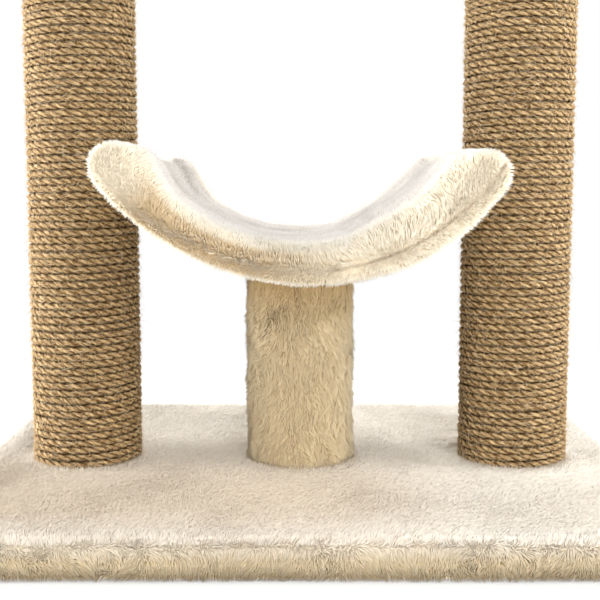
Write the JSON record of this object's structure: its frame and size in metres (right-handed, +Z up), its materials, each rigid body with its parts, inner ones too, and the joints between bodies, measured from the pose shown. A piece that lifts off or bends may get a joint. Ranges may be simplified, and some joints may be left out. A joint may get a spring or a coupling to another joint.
{
  "type": "cat tree lower tier",
  "caption": "Lower tier of a cat tree: plush-covered base board, rope-wound scratching posts and a curved plush cradle on a short post between them.",
  "frame": {"origin": "on the floor, under the middle of the base", "axes": "+X to the right from post to post, +Y to the back, +Z up"},
  "size_m": [0.5, 0.4, 0.387],
  "materials": {
    "plush": "short cream plush pile",
    "rope": "twisted jute rope",
    "board": "raw particle board",
    "plug_wood": "raw fibreboard",
    "plywood": "bent plywood",
    "tube_paper": "wound grey-brown board",
    "wadding": "white polyester wadding",
    "steel": "zinc plated"
  },
  "bodies": {
    "root": {"base_board": "board", "base_bolts": "steel", "base_cover": "plush", "base_washers": "steel", "cradle_bolt": "steel", "cradle_padding": "wadding", "cradle_post_inserts": "steel", "cradle_post_plugs": "plug_wood", "cradle_post_sleeve": "plush", "cradle_post_tube": "tube_paper", "cradle_shell": "plywood", "cradle_top_cover": "plush", "cradle_under_cover": "plush", "left_inserts": "steel", "left_plugs": "plug_wood", "left_rope": "rope", "left_tube": "tube_paper", "right_inserts": "steel", "right_plugs": "plug_wood", "right_rope": "rope", "right_tube": "tube_paper"}
  },
  "joints": []
}
